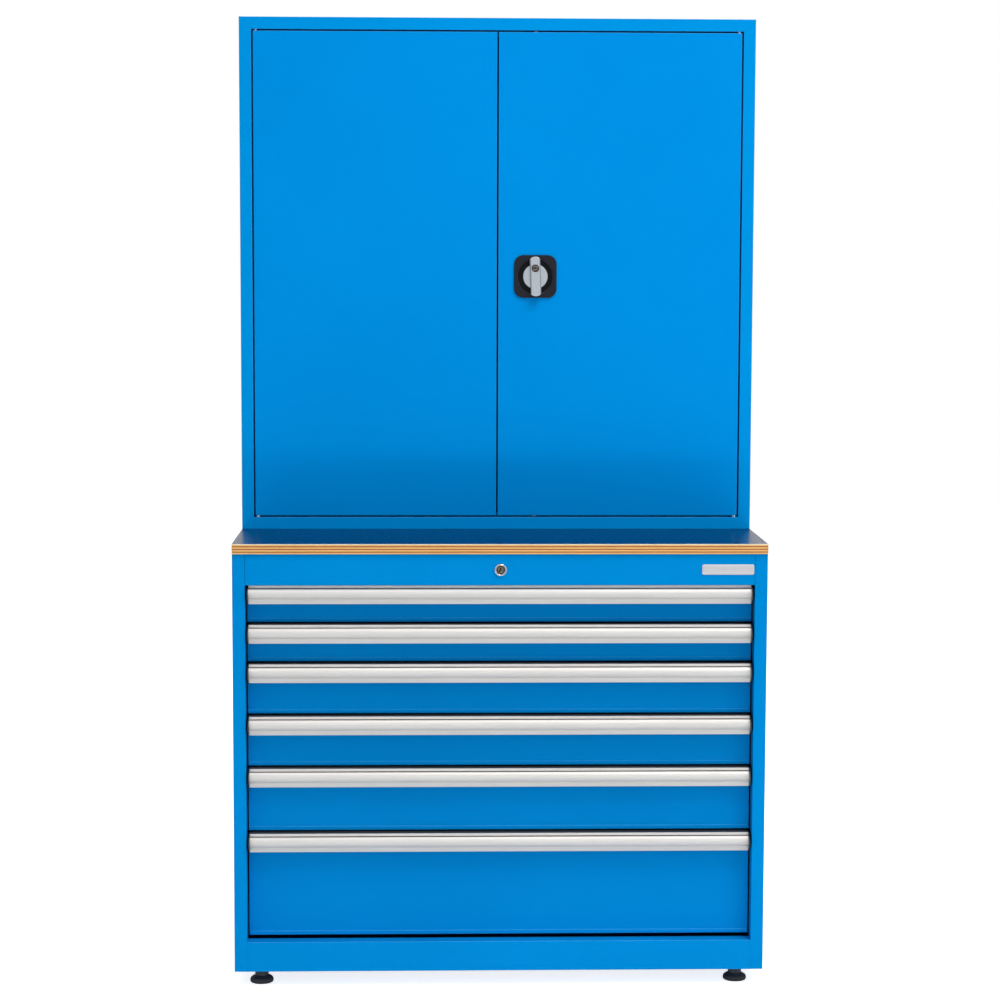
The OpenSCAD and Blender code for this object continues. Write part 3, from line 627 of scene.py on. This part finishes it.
def add_keyway(name, size, tilt, depths, front, centre, body):
    """A tilted keyway with round ends. Its size and depths, counted from front, are in mm."""
    width, height = size[0] * MM, size[1] * MM
    radius = width / 2 - 0.01 * MM      # just under half the width, so that no points coincide
    lean = math.radians(tilt)
    rings = []
    for depth in depths:
        ring = []
        for x, z in rounded_outline(width, height, radius, 5):
            ring.append((centre.x + x * math.cos(lean) - z * math.sin(lean), front + depth * MM,
                         centre.z + x * math.sin(lean) + z * math.cos(lean)))
        rings.append(ring)
    # the keyway is a solid black piece, not a hole: painted shade for the slot's unlit depth
    new_piece(name, from_rings(rings), KEYWAY, body, 30)


def add_drawer_lock():
    """Rounded chrome ring, and the stepped face of the key plug inside it."""
    low, high = node_box("lock_ring")
    centre = middle(low, high)
    outer, bore, sleeve = (high.x - low.x) / 2, 9.25 * MM, 10.7 * MM
    front, back = low.y, high.y
    wall = front + 3.0 * MM
    profile = [(outer, wall), (outer, front + 1.7 * MM), (outer - 0.4 * MM, front + 0.7 * MM),
               (outer - 0.9 * MM, front + 0.15 * MM), (outer - 1.4 * MM, front),
               (bore + 0.5 * MM, front + 0.3 * MM), (bore, front + 1.2 * MM), (bore, back),
               (sleeve, back), (sleeve, wall)]
    ring = new_piece("lock_ring_rounded", turned_ring(profile, centre), CHROME,
                     "housing", 35)
    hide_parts("lock_ring")

    core = front + 0.4 * MM             # front of the solid lock core
    collar = [(8.2, 0.05), (8.2, -0.30), (8.0, -0.36), (6.5, -0.36), (6.1, -0.06), (0.6, -0.04)]
    plug = [(5.9, 0.02), (5.9, -0.20), (5.6, -0.26), (0.6, -0.24)]
    add_turned("lock_collar", collar, core, centre, DARK_METAL, "drawer_lock")
    add_turned("lock_plug", plug, core, centre, BRONZE, "drawer_lock")
    off_centre = centre - Vector((1.2 * MM, 0, 0))
    add_keyway("lock_keyway", (2.4, 8.0), -14, (-0.1, -0.34), core, off_centre, "drawer_lock")


def add_grip_key():
    """Key plug seated in the upper half of the turning grip."""
    low, high = node_box("turn_handle")
    lean, reach = math.radians(2.0), 16.0 * MM
    centre = middle(low, high) + reach * Vector((-math.sin(lean), 0, math.cos(lean)))
    seat = low.y + 1.0 * MM             # front of the solid cylinder
    collar = [(7.35, 0.05), (7.35, -0.25), (7.1, -0.35), (6.2, -0.35), (5.9, -0.1), (0.6, -0.1)]
    plug = [(5.7, 0.02), (5.7, -0.50), (5.4, -0.62), (0.6, -0.66)]
    add_turned("grip_collar", collar, seat, centre, DARK_METAL, "turn_handle")
    add_turned("grip_plug", plug, seat, centre, BRONZE, "turn_handle")
    add_keyway("grip_keyway", (1.8, 7.4), -70, (-0.5, -0.76), seat, centre, "turn_handle")


def add_handle_caps():
    """Domed end caps of the handle extrusions, within the flat solids of the frame."""
    inward = 0.85                       # how far the dome's last ring draws in, as a share
    places = (0.0, 0.3, 0.5, 0.68, 0.82, 0.92, 0.98, 1.0)
    dome = [(t, inward * (1 - math.sqrt(1 - t * t))) for t in places]
    steps = 24
    bend = [math.radians(90 + 180 * i / steps) for i in range(steps + 1)]
    for k in DRAWERS:
        low, high = node_box(f"drawer_{k}_caps")
        inner = node_box(f"drawer_{k}_handle")[1].x
        radius, thick = (high.z - low.z) / 2, high.x - inner
        centre_y, centre_z = low.y + radius, (high.z + low.z) / 2
        sides = []
        for side in (-1, 1):
            rings = []
            for t, share in dome:
                r = radius * (1 - share)
                x = side * (inner + t * thick)
                ring = [(x, centre_y + r * math.cos(a), centre_z + r * math.sin(a)) for a in bend]
                rings.append(ring + [(x, high.y, centre_z - r), (x, high.y, centre_z + r)])
            sides.append(rings)
        caps = new_piece(f"drawer_{k}_cap_domes", from_rings(*sides), CAP,
                         f"drawer_{k}", 50)
        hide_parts(f"drawer_{k}_caps")


def grooves(count, angle, depth):
    """How far count grooves of a depth cut in at an angle."""
    return depth * (0.5 - 0.5 * math.cos(count * angle))


def add_feet():
    """Levelling feet: a knurled tread under a fluted hub, and a threaded stem above."""
    ribs, flutes, thread_sides = 54, 18, 24
    stem, thread_depth, pitch = 6 * MM, 0.7 * MM, 1.5 * MM
    thread_start = 26 * MM              # inside the hub
    # radius, height, and how deep the tread's ribs and the hub's flutes cut in, all in mm
    profile = [(3.0, 0.0, 0, 0), (20.8, 0.0, 0, 0), (22.0, 1.2, 0.7, 0), (22.5, 3.2, 1.0, 0),
               (22.4, 5.6, 1.0, 0), (21.2, 8.2, 0.9, 0), (18.0, 10.8, 0.3, 0), (14.2, 12.6, 0, 0),
               (13.0, 14.0, 0, 0.4), (13.0, 28.6, 0, 0.4), (12.4, 29.4, 0, 0.3), (3.0, 29.4, 0, 0)]
    for node in FEET:
        low, high = node_box(node)
        centre = middle(low, high)

        def level_ring(height, steps, radius_at):
            return [(centre.x + radius_at(a) * math.cos(a), centre.y + radius_at(a) * math.sin(a),
                     low.z + height) for a in around(steps)]

        pad = [level_ring(height * MM, 2 * ribs, lambda a: MM * (
            radius - grooves(ribs, a, rib) - grooves(flutes, a, flute)))
            for radius, height, rib, flute in profile]
        half_turns = int((high.z - low.z - thread_start) / pitch * 2)
        thread = [level_ring(thread_start + i * pitch / 2, thread_sides,
                             lambda a: stem - i % 2 * thread_depth) for i in range(half_turns)]
        foot = new_piece(f"{node}_ribbed", from_rings(pad, thread), FOOT, node, 40)
        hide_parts(node)


set_camera()
set_world()
set_lights()
add_floor()
dress_frame()
add_bare_plate()
add_drawer_lock()
add_grip_key()
add_handle_caps()
add_feet()

bpy.context.scene.view_settings.view_transform = "Standard"
